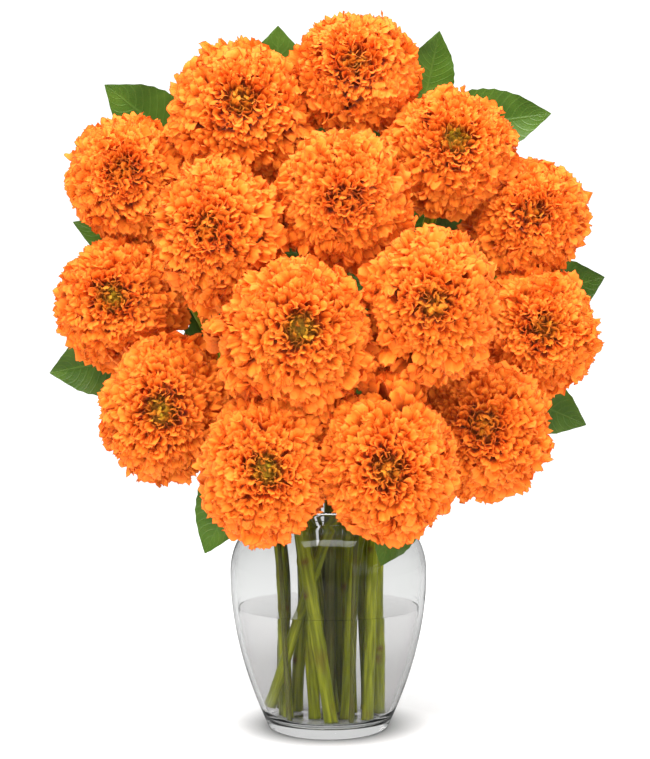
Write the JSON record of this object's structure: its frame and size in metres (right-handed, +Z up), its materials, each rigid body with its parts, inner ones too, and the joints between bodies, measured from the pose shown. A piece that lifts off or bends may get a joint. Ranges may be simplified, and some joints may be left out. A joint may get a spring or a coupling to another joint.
{
  "type": "marigold bouquet in a glass vase",
  "caption": "Round bouquet of large orange pompon marigolds with pointed lemon leaves, standing in a clear urn-shaped glass vase half filled with water.",
  "frame": {"origin": "centre of the vase's foot, on the surface it stands on", "axes": "+Z up, -Y towards the viewer the flowers face, +X to that viewer's right"},
  "size_m": [0.4082, 0.2375, 0.5031],
  "materials": {
    "vase_glass": "clear polished",
    "water": "clear liquid",
    "petals": "soft satin petals",
    "calyx": "smooth waxy green",
    "stem": "ribbed green stem",
    "leaf": "glossy leaf"
  },
  "bodies": {
    "root": {"vase": "vase_glass", "water": "water", "bloom_01": "petals", "calyx_01": "calyx", "stem_01": "stem", "bloom_02": "petals", "calyx_02": "calyx", "stem_02": "stem", "bloom_03": "petals", "calyx_03": "calyx", "stem_03": "stem", "bloom_04": "petals", "calyx_04": "calyx", "stem_04": "stem", "bloom_05": "petals", "calyx_05": "calyx", "stem_05": "stem", "bloom_06": "petals", "calyx_06": "calyx", "stem_06": "stem", "bloom_07": "petals", "calyx_07": "calyx", "stem_07": "stem", "bloom_08": "petals", "calyx_08": "calyx", "stem_08": "stem", "bloom_09": "petals", "calyx_09": "calyx", "stem_09": "stem", "bloom_10": "petals", "calyx_10": "calyx", "stem_10": "stem", "bloom_11": "petals", "calyx_11": "calyx", "stem_11": "stem", "bloom_12": "petals", "calyx_12": "calyx", "stem_12": "stem", "bloom_13": "petals", "calyx_13": "calyx", "stem_13": "stem", "bloom_14": "petals", "calyx_14": "calyx", "stem_14": "stem", "bloom_15": "petals", "calyx_15": "calyx", "stem_15": "stem", "sprig_top": "leaf", "sprig_upper_left": "leaf", "sprig_left": "leaf", "sprig_lower_left": "leaf", "sprig_front_left": "leaf", "sprig_front_right": "leaf", "sprig_upper_right": "leaf", "sprig_right": "leaf", "sprig_lower_right": "leaf", "sprig_back_right": "leaf", "sprig_back_left": "leaf"}
  },
  "joints": []
}
